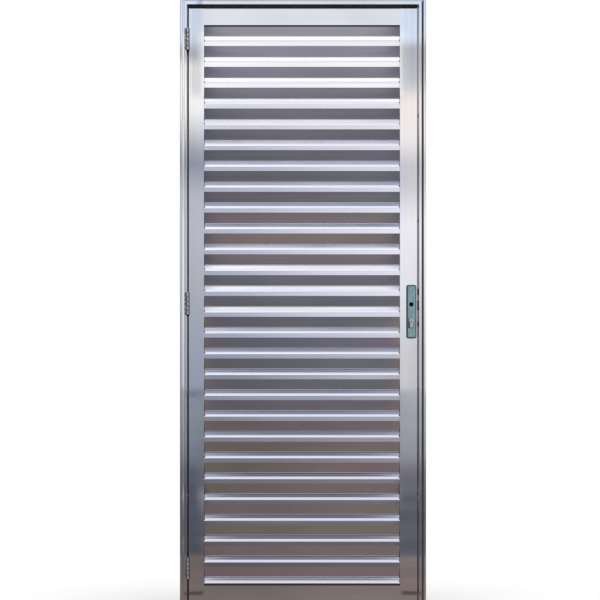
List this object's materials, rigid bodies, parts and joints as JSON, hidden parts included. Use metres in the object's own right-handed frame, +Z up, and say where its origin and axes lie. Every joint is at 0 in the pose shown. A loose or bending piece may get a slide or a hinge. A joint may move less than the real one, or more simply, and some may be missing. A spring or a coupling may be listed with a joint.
{
  "type": "louvred door with frame",
  "caption": "Bright aluminium louvred door in its own mitred frame, hung on butt hinges, with a lock plate and key cylinder.",
  "frame": {"origin": "middle of the sill's underside, halfway through the frame's depth", "axes": "+X to the right as seen from the front, +Y away from the viewer, +Z up"},
  "size_m": [0.84, 0.059, 2.1],
  "materials": {
    "bright_aluminium": "polished",
    "slat_aluminium": "polished",
    "hinge_metal": "satin",
    "pin_steel": "satin",
    "lock_plate_metal": "polished",
    "lock_steel": "brushed",
    "cylinder_metal": "polished"
  },
  "bodies": {
    "frame": {"hinge_jamb": "bright_aluminium", "lock_jamb": "bright_aluminium", "frame_head": "bright_aluminium", "frame_sill": "bright_aluminium", "strike_plate": "lock_steel", "bottom_hinge_frame_leaf": "hinge_metal", "bottom_hinge_pin": "pin_steel", "middle_hinge_frame_leaf": "hinge_metal", "middle_hinge_pin": "pin_steel", "top_hinge_frame_leaf": "hinge_metal", "top_hinge_pin": "pin_steel"},
    "leaf": {"hinge_stile": "bright_aluminium", "lock_stile": "bright_aluminium", "top_rail": "bright_aluminium", "bottom_rail": "bright_aluminium", "slat_01": "slat_aluminium", "slat_02": "slat_aluminium", "slat_03": "slat_aluminium", "slat_04": "slat_aluminium", "slat_05": "slat_aluminium", "slat_06": "slat_aluminium", "slat_07": "slat_aluminium", "slat_08": "slat_aluminium", "slat_09": "slat_aluminium", "slat_10": "slat_aluminium", "slat_11": "slat_aluminium", "slat_12": "slat_aluminium", "slat_13": "slat_aluminium", "slat_14": "slat_aluminium", "slat_15": "slat_aluminium", "slat_16": "slat_aluminium", "slat_17": "slat_aluminium", "slat_18": "slat_aluminium", "slat_19": "slat_aluminium", "slat_20": "slat_aluminium", "slat_21": "slat_aluminium", "slat_22": "slat_aluminium", "slat_23": "slat_aluminium", "slat_24": "slat_aluminium", "slat_25": "slat_aluminium", "slat_26": "slat_aluminium", "slat_27": "slat_aluminium", "slat_28": "slat_aluminium", "bottom_hinge_door_leaf": "hinge_metal", "middle_hinge_door_leaf": "hinge_metal", "top_hinge_door_leaf": "hinge_metal", "lock_body": "lock_steel", "latch_bolt": "lock_steel", "dead_bolt": "lock_steel", "front_lock_plate": "lock_plate_metal", "back_lock_plate": "lock_plate_metal", "key_cylinder": "cylinder_metal"}
  },
  "joints": [
    {"name": "leaf_swing", "type": "hinge", "parent": "frame", "child": "leaf", "pos_m": [-0.393, -0.0285, 1.0545], "axis": [0, 0, -1], "range_deg": [0, 170]}
  ]
}
